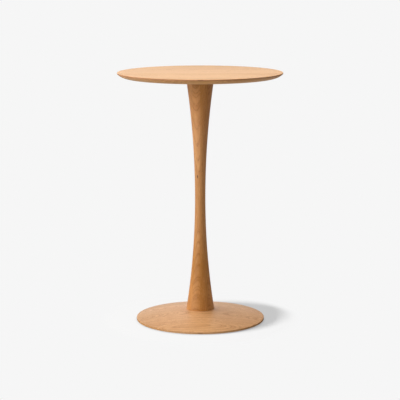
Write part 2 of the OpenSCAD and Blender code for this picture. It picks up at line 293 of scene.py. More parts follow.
def board_loops(outline, y, recesses):
    """Closed cross-sections of the disc on planes of constant y, as (plane, corner, xyz). Outline
    points nearer the axis than the plane fold onto x = 0, at the outline's height at radius |y|."""
    side_x, side_z, levels = [], [], []
    for branch in outline:
        radius, height = branch[:, 0], branch[:, 1]
        order = np.argsort(radius)
        level = np.interp(np.abs(y), radius[order], height[order])
        outside = radius > np.abs(y[:, None]) + LIP / 100
        reach = np.where(outside, radius**2 - y[:, None] ** 2, 0)
        side_x.append(np.sqrt(reach))
        side_z.append(np.where(outside, height, level[:, None]))
        levels.append(level)
    x, z = np.concatenate(side_x, axis=1), np.concatenate(side_z, axis=1)
    middle = [half_chord(y, cy, steps[0][0]) for cx, cy, steps in recesses if cx == 0]
    middle_half = np.max(middle, axis=0) if middle else 0 * y
    notches = [notch(y, levels[0], recess, middle_half) for recess in recesses]
    x = np.concatenate([x, -x[:, ::-1]] + [n[0] for n in notches], axis=1)
    z = np.concatenate([z, z[:, ::-1]] + [n[1] for n in notches], axis=1)
    return np.stack([x, np.broadcast_to(y[:, None], x.shape), z], axis=-1)


def make_board(node, outline, radius, recesses):
    """One board of a disc, between the two glue lines of the CAD node that it stands for."""
    low, high = np.round([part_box(node)[0].y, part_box(node)[1].y], PLACES)
    crossed = [r for r in recesses if low - r[2][0][0] < r[1] < high + r[2][0][0]]
    y = stations(low, high, outline, crossed)
    loops = board_loops(outline, y, crossed)
    return add_piece("oak_" + node, skin(loops, abs(low) < radius - LIP, abs(high) < radius - LIP))


# %% [markdown]
# The tabletop is seven boards. Its only recess takes the steel plate flush, so it is measured from
# the plate, plus the gap round it.

# %% The tabletop's boards
PLATE_GAP = 0.0009


def middle_recess(plate):
    """The recess round a plate in the middle, as deep as the plate and wider by the gap."""
    high = span(plate)[1]
    return 0, 0, [(high[0] + PLATE_GAP, high[2])]


plate_recess = middle_recess("top_plate")
top_pieces = [make_board(node, top_outline(), top_radius, [plate_recess]) for node in TOP_BOARDS]

# %% [markdown]
# The base is six boards, with a wide recess for the ballast plate and four pockets for the feet. A
# pocket goes on as a narrower hole for a threaded insert, so its recess has two steps. Only boards
# that a recess crosses get its corners.

# %% The base's boards
INSERT_GAP = 0.0001
POCKET_RADIUS = 0.016
POCKET_DEPTH = 0.004
INSERT_RADIUS = 0.006
insert_top = span("foot_inserts")[1][2]
pocket = [(POCKET_RADIUS, base_underside + POCKET_DEPTH),
          (INSERT_RADIUS + INSERT_GAP, insert_top + INSERT_GAP)]
foot_centres = [(np.add(*span(node)) / 2)[:2] for node in FOOT_PADS]
base_recesses = [middle_recess("ballast_plate")] + [(x, y, pocket) for x, y in foot_centres]
base_recesses.sort(key=lambda recess: recess[0])
base_pieces = [make_board(node, base_outline(), base_radius, base_recesses) for node in BASE_BOARDS]

# %% [markdown]
# The column is glued up before it is turned: two thick core boards that meet in the middle, and one
# outer board on each side. The lathe cuts the outer boards right through at the waist, so each of
# them leaves a cheek above and a cheek below, with a feathered tip. The outline is two circular arcs
# that are upright where they meet at the waist.

# %% The column's outline and levels
CORE_LEVELS = 61
CHEEK_LEVELS = 41


def arc_radius(end):
    """Radius of the arc from the waist to the column's end at a height: (run squared plus rise
    squared) over twice the rise, where the rise is how much thicker the column gets."""
    rise = column_end - WAIST_RADIUS
    return ((end - WAIST_HEIGHT) ** 2 + rise**2) / (2 * rise)


def column_radius(z):
    """Waist radius plus how far the arc has leaned out at height z."""
    arc = arc_radius(np.where(z > WAIST_HEIGHT, underside, crown))
    return WAIST_RADIUS + arc - np.sqrt(arc**2 - (z - WAIST_HEIGHT) ** 2)


def tip_level(end):
    """Height at which the column is as thick as its two core boards, on the side of that end."""
    arc, lean = arc_radius(end), core_width - WAIST_RADIUS
    return WAIST_HEIGHT + np.sign(end - WAIST_HEIGHT) * np.sqrt(arc**2 - (arc - lean) ** 2)


def toward(tip, end):
    """Heights from a cheek's tip to the column's end, closest together at the tip."""
    return tip + (end - tip) * np.linspace(0, 1, CHEEK_LEVELS) ** 2


upper_tip, lower_tip = tip_level(underside), tip_level(crown)
column_levels = np.unique(np.round(np.concatenate([
    np.linspace(crown, underside, CORE_LEVELS),
    toward(upper_tip, underside),
    toward(lower_tip, crown),
]), PLACES + 1))
print("cheeks start", round(lower_tip, 3), "and", round(upper_tip, 3), "m up")
print(len(column_levels), "levels")

# %% [markdown]
# A core board's cross-section is half a disc, cut flat on its outer side, with half of the rod's
# bore in its inner face. The angle at which the flat starts is the arc cosine of board thickness
# over radius, or nought where the column is thinner than its core. A cheek is what lies outside the
# flat. Both use the same heights, so their edges meet without a crack.

# %% The column's boards
BOSS_GAP = 0.0001
ARC_STEPS = 36
BORE_STEPS = 12


def round_the_axis(reach, angle, z, side=1):
    """Points at a reach and an angle from the z axis, one row for each height. Side -1 mirrors x."""
    x, y = side * reach * np.cos(angle), reach * np.sin(angle)
    return np.stack([x, y, np.broadcast_to(z[:, None], x.shape)], axis=-1)


def half_disc(z, radius, bore, side):
    """Core loops: an arc from -90 degrees to the flat, one from the flat to 90, and the bore back."""
    flat = np.arccos(np.minimum(core_width / radius, 1))
    t = np.linspace(0, 1, ARC_STEPS + 1)
    near = -np.pi / 2 + (np.pi / 2 - flat)[:, None] * t
    inner = np.tile(np.linspace(np.pi / 2, -np.pi / 2, BORE_STEPS + 1), (len(z), 1))
    angle = np.concatenate([near, -near[:, ::-1], inner], axis=1)
    reach = np.concatenate([np.repeat(radius[:, None], 2 * (ARC_STEPS + 1), 1),
                            np.repeat(bore[:, None], BORE_STEPS + 1, 1)], axis=1)
    return round_the_axis(reach, angle, z, side)


def make_core(node, side):
    """A core board with its share of the tenon and the wider bore for the boss at its top."""
    boss_low, boss_high = span("plate_boss")
    counterbore = boss_low[2] - BOSS_GAP
    wide = (boss_high[0] - boss_low[0]) / 2 + BOSS_GAP
    below = column_levels[column_levels < counterbore]
    above = column_levels[column_levels > counterbore]
    z = np.concatenate([[tenon_end, crown], below, [counterbore, counterbore], above])
    radius = column_radius(z)
    radius[:2] = TENON_RADIUS
    bore = np.full(len(z), ROD_BORE)
    bore[-len(above) - 1:] = wide
    return add_piece("oak_" + node, skin(half_disc(z, radius, bore, side)))


def make_cheek(node, side, tip, end):
    """A cheek: the disc's part outside the flat, an arc between minus and plus the flat's angle."""
    low, high = sorted([tip, end])
    z = column_levels[(column_levels > low - LIP) & (column_levels < high + LIP)]
    radius = np.where(np.abs(z - tip) < LIP, core_width, column_radius(z))
    flat = np.arccos(np.minimum(core_width / radius, 1))
    angle = flat[:, None] * np.linspace(-1, 1, 2 * ARC_STEPS + 1)
    loops = round_the_axis(radius[:, None], angle, z, side)
    return add_piece("oak_" + node, skin(loops, end < tip, end > tip))


column_pieces = [
    make_core("column_core_left", -1),
    make_core("column_core_right", 1),
    make_cheek("upper_cheek_left", -1, upper_tip, underside),
    make_cheek("upper_cheek_right", 1, upper_tip, underside),
    make_cheek("lower_cheek_left", -1, lower_tip, crown),
    make_cheek("lower_cheek_right", 1, lower_tip, crown),
]

# %% [markdown]
# Screw threads show on the levelling feet when they are wound down, and on the end of the tie rod
# below the base. With bump alone a thread's outline would stay straight, so it is real here: the
# radius at height z and angle a is a wave of z over the pitch minus a over one full turn. The wave
# has flat crests and roots, like a rolled thread, and fades out at both ends.

# %% Threads, hexagons and turned shapes
ROUND_STEPS = 48
TURN = np.linspace(0, 2 * np.pi, ROUND_STEPS, endpoint=False)
THREAD_DEPTH = 0.6
ROOT_SHARE = 0.2
CREST_SHARE = 0.15
CHAMFER_ANGLE = 30
CHAMFER_LEVELS = 4


def thread(z, crest, pitch):
    """Radius and height of a right-handed thread. The radius goes by (height, angle)."""
    wave = np.abs(2 * np.mod(z[:, None] / pitch - TURN / (2 * np.pi), 1) - 1)
    rib = np.clip((wave - ROOT_SHARE) / (1 - ROOT_SHARE - CREST_SHARE), 0, 1)
    run_in = np.clip(np.minimum(z - z[0], z[-1] - z) / pitch, 0, 1)[:, None]
    root = crest - THREAD_DEPTH * pitch
    return root + (crest - root) * rib * run_in, z


def hexagon(z, flats, chamfer):
    """Radius and height of a hexagonal bar with chamfered ends: half the width across flats over
    the cosine of the angle from the nearest flat, held inside a flat cone at each end."""
    around = np.mod(TURN, np.pi / 3) - np.pi / 6
    cone = flats / 2 - chamfer + np.minimum(z - z[0], z[-1] - z) / np.tan(np.radians(CHAMFER_ANGLE))
    return np.minimum(flats / 2 / np.cos(around), cone[:, None]), z


def ends_and_middle(low, high, chamfer):
    """Heights of a chamfered bar: a few across each chamfer and none between them."""
    lower = np.linspace(low, low + chamfer, CHAMFER_LEVELS)
    return np.concatenate([lower, np.linspace(high - chamfer, high, CHAMFER_LEVELS)])


def turned(profile):
    """Radius and height of a round shape from its (radius, height) points, one row for each."""
    radius, z = np.array(profile).T
    return np.repeat(radius[:, None], ROUND_STEPS, 1), z


def stack(*parts):
    """Loops round the z axis from (radius, height) parts, one above the other."""
    radius, z = (np.concatenate(share) for share in zip(*parts))
    return round_the_axis(radius, TURN, z)


def placed(loops, centre, angle=0.0):
    """Loops turned about the z axis and moved to a centre in plan."""
    c, s = np.cos(angle), np.sin(angle)
    x, y = loops[..., 0], loops[..., 1]
    return np.stack([c * x - s * y + centre[0], s * x + c * y + centre[1], loops[..., 2]], axis=-1)


# %% [markdown]
# A levelling foot is a steel stem, one stack of a round head, a neck, a hexagon for a spanner and an
# M8 thread. The head turns in a nylon pad with soft edges, as moulding leaves them.

# %% The levelling feet
STEM_THREAD = 0.004
STEM_PITCH = 0.00125
STEM_FLATS = 0.013
HEX_HEIGHT = 0.0025
HEX_CHAMFER = 0.0004
HEAD_RADIUS = 0.005
HEAD_HEIGHT = 0.0015
NECK_RADIUS = 0.003
PAD_GAP = 0.0001
HEX_ABOVE_PAD = 0.0002
SMALL_BEVEL = 0.0003
STEM_LEVELS = 106
PAD_SHOULDER = 0.0012
PAD_SOLE = 0.0006


def make_stem(node, centre):
    """Head, neck, hexagon and thread, from the floor up."""
    low, high = span(node)
    head_top = low[2] + HEAD_HEIGHT
    hex_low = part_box(node.replace("stem", "pad"))[1].z + HEX_ABOVE_PAD
    hex_high = hex_low + HEX_HEIGHT
    head = turned([
        (0, low[2]), (HEAD_RADIUS - SMALL_BEVEL, low[2]), (HEAD_RADIUS, low[2] + SMALL_BEVEL),
        (HEAD_RADIUS, head_top - SMALL_BEVEL), (HEAD_RADIUS - SMALL_BEVEL, head_top),
        (NECK_RADIUS, head_top), (NECK_RADIUS, hex_low),
    ])
    bar = hexagon(ends_and_middle(hex_low, hex_high, HEX_CHAMFER), STEM_FLATS, HEX_CHAMFER / 2)
    screw = thread(np.linspace(hex_high, high[2], STEM_LEVELS), STEM_THREAD, STEM_PITCH)
    loops = stack(head, bar, screw, turned([(0, high[2])]))
    loops = placed(loops, centre, np.arctan2(centre[1], centre[0]))
    return add_piece("steel_" + node, skin(loops, False, False))


def make_pad(node, centre):
    """A turned ring section with rounded shoulders and the cavity that holds the stem's head."""
    low, high = span(node)
    radius = (high[0] - low[0]) / 2
    sole = arc_points(radius - PAD_SOLE, low[2] + PAD_SOLE, PAD_SOLE, -90, 0, 5)
    shoulder = arc_points(radius - PAD_SHOULDER, high[2] - PAD_SHOULDER, PAD_SHOULDER, 0, 90, 7)
    cavity_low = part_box(node.replace("pad", "stem"))[0].z - PAD_GAP
    cavity_high = cavity_low + HEAD_HEIGHT + 2 * PAD_GAP
    profile = [(0, low[2]), *sole, *shoulder, (NECK_RADIUS + PAD_GAP, high[2]),
               (NECK_RADIUS + PAD_GAP, cavity_high), (HEAD_RADIUS + PAD_GAP, cavity_high),
               (HEAD_RADIUS + PAD_GAP, cavity_low), (0, cavity_low)]
    return add_piece("nylon_" + node, skin(placed(stack(turned(profile)), centre), False, False))


stem_pieces = [make_stem(node, centre) for node, centre in zip(FOOT_STEMS, foot_centres)]
pad_pieces = [make_pad(node, centre) for node, centre in zip(FOOT_PADS, foot_centres)]

# %% [markdown]
# The tie rod runs through the whole column. Both its ends are threaded, and the lower one ends in a
# counterbore of the ballast plate, with a washer and a thin nut with chamfered corners. The nut is a
# ring: its loops go up the outside and come back down the bore.

# %% The tie rod and its nut
ROD_PITCH = 0.00175
ROD_THREADED = 0.030
ROD_LEVELS = 180
NUT_FLATS = 0.018
NUT_CHAMFER = 0.0007
NUT_GAP = 0.00008

rod_low, rod_high = span("tie_rod")
rod_radius = rod_high[0]
lower_z = np.linspace(rod_low[2], rod_low[2] + ROD_THREADED, ROD_LEVELS)
upper_z = np.linspace(rod_high[2] - ROD_THREADED, rod_high[2], ROD_LEVELS)
rod_loops = stack(
    turned([(0, rod_low[2])]), thread(lower_z, rod_radius, ROD_PITCH),
    turned([(rod_radius, lower_z[-1] + SMALL_BEVEL), (rod_radius, upper_z[0] - SMALL_BEVEL)]),
    thread(upper_z, rod_radius, ROD_PITCH), turned([(0, rod_high[2])]),
)
rod_piece = add_piece("steel_tie_rod", skin(rod_loops, False, False))

nut_low, nut_high = span("rod_nut")
nut_z = ends_and_middle(nut_low[2], nut_high[2], NUT_CHAMFER)
nut_bore = turned([(rod_radius + NUT_GAP, nut_high[2]), (rod_radius + NUT_GAP, nut_low[2])])
nut_loops = stack(hexagon(nut_z, NUT_FLATS, NUT_CHAMFER / 2), nut_bore)
nut_piece = add_piece("steel_rod_nut", skin(nut_loops, False, False, ring=True))

# %% [markdown]
# Every board comes from its own log, so each piece gets three attributes. "timber" is a place in the
# log: x along the grain, y and z across it, measured from the pith, the middle of the rings. A far
# pith gives straight grain, and a near one gives arches. "seam" is the distance to the nearest glue
# line, for the thin dark joint. "tone" makes one board paler or darker than the next.
#
# No board is sawn truly along its log, so the log is tilted a little against it. That tilt is what
# draws the long pointed arches on a flat-sawn face.


# %% Give each piece its place in a log
def tilt_matrix(lean, swing):
    """Turns by lean about y and by swing about z, both in degrees."""
    a, b = np.radians(lean), np.radians(swing)
    about_y = np.array([[np.cos(a), 0, np.sin(a)], [0, 1, 0], [-np.sin(a), 0, np.cos(a)]])
    about_z = np.array([[np.cos(b), -np.sin(b), 0], [np.sin(b), np.cos(b), 0], [0, 0, 1]])
    return about_y @ about_z


def corners_of(piece):
    """All corner positions of a piece, as an array."""
    place = np.empty(len(piece.data.vertices) * 3, np.float32)
    piece.data.vertices.foreach_get("co", place)
    return place.reshape(-1, 3)


def store(piece, name, values):
    """Writes one value or vector for each corner of the piece."""
    kind, field = ("FLOAT_VECTOR", "vector") if values.ndim == 2 else ("FLOAT", "value")
    attribute = piece.data.attributes.new(name, kind, "POINT")
    attribute.data.foreach_set(field, np.ascontiguousarray(values, np.float32).ravel())


def season(piece, upright, pith, tilt, shift, tone, seams):
    """Stores timber, seam and tone. upright swaps x and z for a board that stands on end, pith is
    the pith's place across the board, and seams are (axis, place) pairs of glue faces. The tone
    has a value for each corner."""
    place = corners_of(piece)
    local = place - (place.min(axis=0) + place.max(axis=0)) / 2
    if upright:
        local = local[:, ::-1]
    store(piece, "timber", local @ tilt_matrix(*tilt).T - np.array([shift, *pith]))
    gaps = np.stack([np.abs(place[:, axis] - value) for axis, value in seams], axis=1)
    store(piece, "seam", gaps.min(axis=1))
    store(piece, "tone", tone)


# %% [markdown]
# In the top and the base flat-sawn and nearly quarter-sawn boards take turns, as a joiner finds them
# in the stack. A seeded generator adds small differences. The tones follow the photograph, where the
# second and fourth boards of the top are the palest and the last one is the darkest. The base is
# palest by the column and darker toward its left end: painted light by the column's foot, where shade
# falls, and painted shade toward the left end, where the light is strongest. A curve carries these
# tones along the boards.

# %% Season the boards of the top and the base
TOP_TONES = (1.00, 1.03, 0.99, 1.04, 1.00, 0.96, 0.90)
BASE_TONES = (1.0, 1.03, 0.98, 1.02, 0.96, 1.0)
# Painted light and shade along the base: x as a share of the radius, and the factor of the tone there.
BASE_PAINTED_LIGHT = ((-1.0, -0.8, -0.55, -0.4, -0.2, 0.1, 0.3, 0.7, 1.0),
              (0.87, 0.91, 0.97, 1.0, 1.035, 1.035, 1.015, 1.0, 0.97))
QUARTER_SAWN = 0.09
dice = np.random.default_rng(7)


def season_disc(pieces, nodes, tones, radius, curve=((0,), (1,))):
    """Seasons the boards of one disc from front to back, each with the place of its pith, the
    tilt of its log and its shift along it. The curve's rows are x as a share of the radius and
    the factor of the tone there."""
    for number, (piece, node, tone) in enumerate(zip(pieces, nodes, tones)):
        low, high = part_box(node)
        sideways = dice.uniform(-0.05, 0.05) + (QUARTER_SAWN if number % 3 == 1 else 0)
        pith = (sideways, dice.choice([-1, 1]) * dice.uniform(0.035, 0.08))
        tilt = (dice.uniform(0.8, 2.2) * dice.choice([-1, 1]), dice.uniform(-1.0, 1.0))
        shift = dice.uniform(1, 9)
        along = np.interp(corners_of(piece)[:, 0] / radius, *curve)
        season(piece, False, pith, tilt, shift, tone * along, [(1, low.y), (1, high.y)])


season_disc(top_pieces, TOP_BOARDS, TOP_TONES, top_radius)
season_disc(base_pieces, BASE_BOARDS, BASE_TONES, base_radius, BASE_PAINTED_LIGHT)
print("seasoned", len(top_pieces), "boards of the top and", len(base_pieces), "of the base")

# %% [markdown]
# In the column the left core board has its pith behind, so its rings come to the front as nested
# arches. The right core board and the cheeks show straighter grain. One curve over the height paints
# shade on all boards toward the foot, where they come out redder and darker, and makes them paler
# above the waist. Each board has a tone of its own below and one above. The boards on the left are
# paler and those on the right darker, which is painted light on the lit left side and painted shade
# on the shaded right side; up there the two core boards differ so much that the glue line between
# them shows as the painted edge of the shade.

# %% Season the column
# The last pair is each board's tone below and above: partly its own, partly painted light on the left
# and painted shade on the right.
COLUMN_LOGS = {
    "oak_column_core_left": ((0.100, 0.050), (0.2, 0.3), 2.2, (0.99, 1.01)),
    "oak_column_core_right": ((0.020, -0.110), (0.6, -0.4), 3.1, (0.965, 0.915)),
    "oak_upper_cheek_left": ((-0.030, 0.090), (-0.5, 0.5), 4.7, (1.06, 1.06)),
    "oak_upper_cheek_right": ((0.045, -0.080), (0.7, 0.3), 5.9, (0.98, 0.98)),
    "oak_lower_cheek_left": ((-0.030, 0.090), (-0.5, 0.5), 6.6, (1.04, 1.04)),
    "oak_lower_cheek_right": ((0.045, -0.080), (0.7, 0.3), 7.4, (1.0, 1.0)),
}
# Painted shade over the height: darker and redder toward the foot, paler above the waist.
TONE_HEIGHTS = (0.08, 0.25, 0.36, 0.60, 0.80, 0.90, 1.00)
HEIGHT_PAINTED_SHADE = (0.96, 0.92, 1.04, 1.10, 1.16, 1.08, 1.00)
CHANGE_HEIGHTS = (0.62, 0.74)
glue_planes = [(0, -core_width), (0, 0.0), (0, core_width)]
for piece in column_pieces:
    pith, tilt, shift, tones = COLUMN_LOGS[piece.name]
    height = corners_of(piece)[:, 2]
    along = np.interp(height, TONE_HEIGHTS, HEIGHT_PAINTED_SHADE) * np.interp(height, CHANGE_HEIGHTS, tones)
    season(piece, True, pith, tilt, shift, along, glue_planes)
print("seasoned", len(column_pieces), "boards of the column")

# %% [markdown]
# Node trees are long to write, so a few small helpers come first. One feeds a node's inputs, from
# numbers or from other nodes' sockets, and one adds a node. The others stand on these two and find
# the node tree from the sockets that they are given.


# %% Node helpers
def feed(node, inputs):
    """Sets inputs, by name or number, to a value or to the socket that feeds them. A colour is
    given as red, green and blue."""
    for name, value in inputs.items():
        if isinstance(value, bpy.types.NodeSocket):
            node.id_data.links.new(value, node.inputs[name])
        elif node.inputs[name].type == "RGBA":
            node.inputs[name].default_value = (*value, 1.0)
        else:
            node.inputs[name].default_value = value
    return node


def wire(tree, kind, inputs=None, **properties):
    """Adds a node, sets its properties and feeds its inputs."""
    node = tree.nodes.new(kind)
    for name, value in properties.items():
        setattr(node, name, value)
    return feed(node, inputs or {})


def calc(operation, *values):
    """One step of arithmetic on sockets or numbers, of which at least one is a socket."""
    tree = next(value for value in values if isinstance(value, bpy.types.NodeSocket)).id_data
    return wire(tree, "ShaderNodeMath", dict(enumerate(values)), operation=operation).outputs[0]


def plus(first, second):
    """Adds two sockets, or a socket and a number."""
    return calc("ADD", first, second)


def times(first, second):
    """Multiplies them."""
    return calc("MULTIPLY", first, second)


def swing(value, amount):
    """Noise from 0 to 1, made to swing about 0 and multiplied by an amount."""
    return times(calc("SUBTRACT", value, 0.5), amount)


def step(value, low, high, first=0.0, last=1.0):
    """Goes smoothly from first to last while value goes from low to high."""
    limits = {"Value": value, "From Min": low, "From Max": high, "To Min": first, "To Max": last}
    return wire(value.id_data, "ShaderNodeMapRange", limits, interpolation_type="SMOOTHSTEP").outputs[0]


def mix(factor, first, second, blend_type="MIX"):
    """Mixes two colours."""
    return wire(factor.id_data, "ShaderNodeMix", {0: factor, 6: first, 7: second},
                data_type="RGBA", blend_type=blend_type).outputs[2]


def vector_calc(operation, first, second=(0.0, 0.0, 0.0)):
    """One step of vector arithmetic. A length or a dot product comes out as a number."""
    node = wire(first.id_data, "ShaderNodeVectorMath", {0: first, 1: second}, operation=operation)
    return node.outputs["Value" if operation in ("LENGTH", "DOT_PRODUCT") else "Vector"]


def noise(place, stretch, detail=2.0, roughness=0.5):
    """Soft noise from 0 to 1, as a value and as a colour. A larger stretch makes it finer."""
    stretched = vector_calc("MULTIPLY", place, stretch)
    settings = {"Vector": stretched, "Scale": 1.0, "Detail": detail, "Roughness": roughness}
    return wire(place.id_data, "ShaderNodeTexNoise", settings).outputs


def new_group(name, inputs):
    """An empty shader node group with its inputs by name: None for a vector, or what the number or
    the colour is if nothing feeds it."""
    group = bpy.data.node_groups.new(name, "ShaderNodeTree")
    for label, value in inputs.items():
        kind = {type(None): "Vector", float: "Float", tuple: "Color"}[type(value)]
        socket = group.interface.new_socket(label, in_out="INPUT", socket_type="NodeSocket" + kind)
        if value is not None:
            socket.default_value = (*value, 1.0) if kind == "Color" else value
    return group, group.nodes.new("NodeGroupInput").outputs


def give_out(group, **results):
    """Ends a node group: each result becomes an output of its own kind."""
    for label, result in results.items():
        group.interface.new_socket(label, in_out="OUTPUT", socket_type=result.bl_idname)
    feed(group.nodes.new("NodeGroupOutput"), results)
    print(group.name, "gives", *results)
    return group


# %% [markdown]
# A growth ring is a thin tube round the pith, so the distance from the pith decides the ring.
# Dividing it by the width of a ring gives a count, and the fraction of that count says where in the
# year the wood grew. Slow noise bends the rings, and more noise makes wet years wide and dry years
# narrow. Each ring also gets its own shade, which draws the soft broad bands of oak seen from afar.

# %% Growth rings
BEND_STRETCH = (1.6, 9.0, 9.0)
ACROSS = (0.0, 1.0, 1.0)
PACE_FINENESS = 0.35
PACE_SWING = 2.4
EARLY_END = 0.42
LATE_START = 0.55


def build_rings():
    """Node group: from a place in the log to the ring's fraction, its own shade and its distance."""
    group, given = new_group("growth_rings", {"Timber": None, "Ring width": 0.004, "Wander": 0.02})
    bend = noise(given["Timber"], BEND_STRETCH, detail=2.5)["Color"]
    bend = vector_calc("MULTIPLY", vector_calc("SUBTRACT", bend, (0.5, 0.5, 0.5)), ACROSS)
    place = vector_calc("ADD", given["Timber"], vector_calc("MULTIPLY", bend, given["Wander"]))
    along, y, z = wire(group, "ShaderNodeSeparateXYZ", {0: place}).outputs
    radius = calc("SQRT", plus(times(y, y), times(z, z)))
    years = calc("DIVIDE", radius, given["Ring width"])
    pace = wire(group, "ShaderNodeTexNoise", {"W": times(years, PACE_FINENESS), "Scale": 1.0},
                noise_dimensions="1D").outputs[0]
    years = plus(years, times(pace, PACE_SWING))
    fraction = calc("FRACT", years)
    shade = wire(group, "ShaderNodeTexWhiteNoise", {"W": calc("FLOOR", years)}, noise_dimensions="1D")
    angle = calc("ARCTAN2", z, y)
    log = wire(group, "ShaderNodeCombineXYZ", {0: along, 1: radius, 2: angle}).outputs[0]
    return give_out(group, Early=step(fraction, 0.0, EARLY_END, 1.0, 0.0),
                    Late=step(fraction, LATE_START, 1.0), Shade=shade.outputs[0], Log=log)


growth_rings = build_rings()

# %% [markdown]
# Oak has two more marks. Its pores are long thin vessels, crowded into the wood that grew in
# spring, and they show as fine dark dashes along the grain. Its rays are thin sheets that stand
# on the rings like spokes, so they are noise in the log's own round coordinates: long across the
# rings and thin round them. Cut on the quarter they are the pale flecks that oak is known for.

# %% Oak figure
PORE_STRETCH = (70.0, 1300.0, 1300.0)
RAY_STRETCH = (55.0, 130.0, 95.0)
STREAK_STRETCH = (1.1, 22.0, 22.0)
MOTTLE_STRETCH = (24.0, 85.0, 85.0)
FIBRE_STRETCH = (18.0, 700.0, 700.0)
LATE_PORES = 0.12
BAND_DEPTH = 0.55
EARLY_DEPTH = 0.50
LATE_DEPTH = 0.22
STREAK_DEPTH = 0.9
FIBRE_DEPTH = 0.35
MEAN_DEPTH = 0.28
PORE_STRENGTH = 0.70
GLUE_STRENGTH = 0.35
PORE_ROUGHNESS = 0.18
FIBRE_ROUGHNESS = 0.06
FIBRE_RELIEF = 0.25
PORE_COLOUR = (0.30, 0.23, 0.17)
RAY_COLOUR = (0.86, 0.56, 0.30)
GLUE_COLOUR = (0.16, 0.06, 0.02)
PORE_LIMITS = (0.56, 0.68)
RAY_LIMITS = (0.60, 0.70)
GLUE_LIMITS = (0.00005, 0.0003)


def build_oak():
    """Node group: colour, roughness and height of oak from a place in the log."""
    group, given = new_group("oak_figure", {
        "Timber": None, "Tone": 1.0, "Seam": 1.0,
        "Pale": (0.66, 0.33, 0.14), "Dark": (0.46, 0.20, 0.07),
        "Ring width": 0.004, "Wander": 0.02, "Contrast": 0.5, "Mottle": 0.3,
        "Flecks": 0.2, "Deepen": 0.4, "Satin": 0.42,
    })
    timber = given["Timber"]
    shared = {name: given[name] for name in ("Timber", "Ring width", "Wander")}
    early, late, shade, log = wire(group, "ShaderNodeGroup", shared, node_tree=growth_rings).outputs

    pores = step(noise(timber, PORE_STRETCH, detail=1.0)[0], *PORE_LIMITS)
    pores = times(pores, plus(early, LATE_PORES))
    rays = times(step(noise(log, RAY_STRETCH, detail=1.0)[0], *RAY_LIMITS), given["Flecks"])
    streaks = noise(timber, STREAK_STRETCH, detail=4.0, roughness=0.6)[0]
    mottle = noise(timber, MOTTLE_STRETCH)[0]
    fibre = noise(timber, FIBRE_STRETCH)[0]

    season_mark = plus(times(early, EARLY_DEPTH), times(late, LATE_DEPTH))
    figure = times(plus(swing(shade, BAND_DEPTH), season_mark), given["Contrast"])
    spots = plus(swing(mottle, given["Mottle"]), swing(fibre, FIBRE_DEPTH))
    depth = plus(plus(figure, swing(streaks, STREAK_DEPTH)), spots)
    depth = wire(group, "ShaderNodeClamp", {0: plus(depth, MEAN_DEPTH)}).outputs[0]
    colour = mix(depth, given["Pale"], given["Dark"])
    colour = mix(times(pores, PORE_STRENGTH), colour, PORE_COLOUR, "MULTIPLY")
    colour = mix(rays, colour, RAY_COLOUR)
    colour = mix(step(given["Seam"], *GLUE_LIMITS, GLUE_STRENGTH, 0.0), colour, GLUE_COLOUR)
    saturation = plus(1.0, times(calc("SUBTRACT", 1.0, given["Tone"]), given["Deepen"]))
    toned = {"Saturation": saturation, "Value": given["Tone"], "Color": colour}

    open_grain = plus(times(pores, PORE_ROUGHNESS), times(fibre, FIBRE_ROUGHNESS))
    return give_out(group, Color=wire(group, "ShaderNodeHueSaturation", toned).outputs[0],
                    Roughness=plus(given["Satin"], open_grain),
                    Height=calc("SUBTRACT", times(fibre, FIBRE_RELIEF), pores))


oak_figure = build_oak()

# %% [markdown]
# One column board has a pin knot, the scar of a dead twig: a dark spot where the distance from a
# chosen point is small, with a softer ring round it. It is drawn out along the height.

# %% Pin knot
KNOT_STRETCH = (1.0, 1.0, 0.45)


def build_knot():
    """Node group: a mask that is 1 in the knot and falls to 0 at twice its radius."""
    group, given = new_group("pin_knot", {"Place": None, "Centre": None, "Radius": 0.002})
    offset = vector_calc("SUBTRACT", given["Place"], given["Centre"])
    distance = vector_calc("LENGTH", vector_calc("MULTIPLY", offset, KNOT_STRETCH))
    share = calc("DIVIDE", distance, given["Radius"])
    return give_out(group, Mask=step(share, 0.5, 2.0, 1.0, 0.0))


pin_knot = build_knot()

# %% [markdown]
# The three oak materials share the group and differ in their values: the top is palest, the column
# darkest, and the base shows more fleck. The roughness of the satin lacquer changes with the pores,
# but its shine is the same all over, so that is set on the shader itself. Where the top's turned edge
# stands upright, its colour is multiplied by a painted shade, as dark as the shade under the tabletop.

# %% Oak materials
LACQUER_SHINE = 0.35
KNOT_CENTRE = (-0.0116, -0.0205, 0.628)
KNOT_RADIUS = 0.0020
KNOT_COLOUR = (0.13, 0.045, 0.015)
# Painted shade for the top's upright edge: its colour, and the uprightness over which it fades in.
EDGE_PAINTED_SHADE = (0.68, 0.573, 0.67)
EDGE_PAINTED_SHADE_LIMITS = (0.3, 1.0)
GRAIN_BUMP = (0.2, 0.0002)
material_of = {}


def new_material(slot, group, settings):
    """A Principled material for a slot, and in it a node of the group with settings by name."""
    material = material_of[slot] = bpy.data.materials.new(slot)
    material.use_nodes = True
    return wire(material.node_tree, "ShaderNodeGroup", settings, node_tree=group)


def coat(source, colour, strength, relief, constants):
    """Feeds the shader a colour and the source's roughness and relief, and sets its constants."""
    tree = source.id_data
    bump = wire(tree, "ShaderNodeBump",
                {"Height": source.outputs["Height"], "Strength": strength, "Distance": relief})
    feed(tree.nodes["Principled BSDF"], {
        "Base Color": colour, "Roughness": source.outputs["Roughness"],
        "Normal": bump.outputs["Normal"], **constants,
    })


def object_place(tree):
    """Places on the piece itself, which move with it."""
    return wire(tree, "ShaderNodeTexCoord").outputs["Object"]


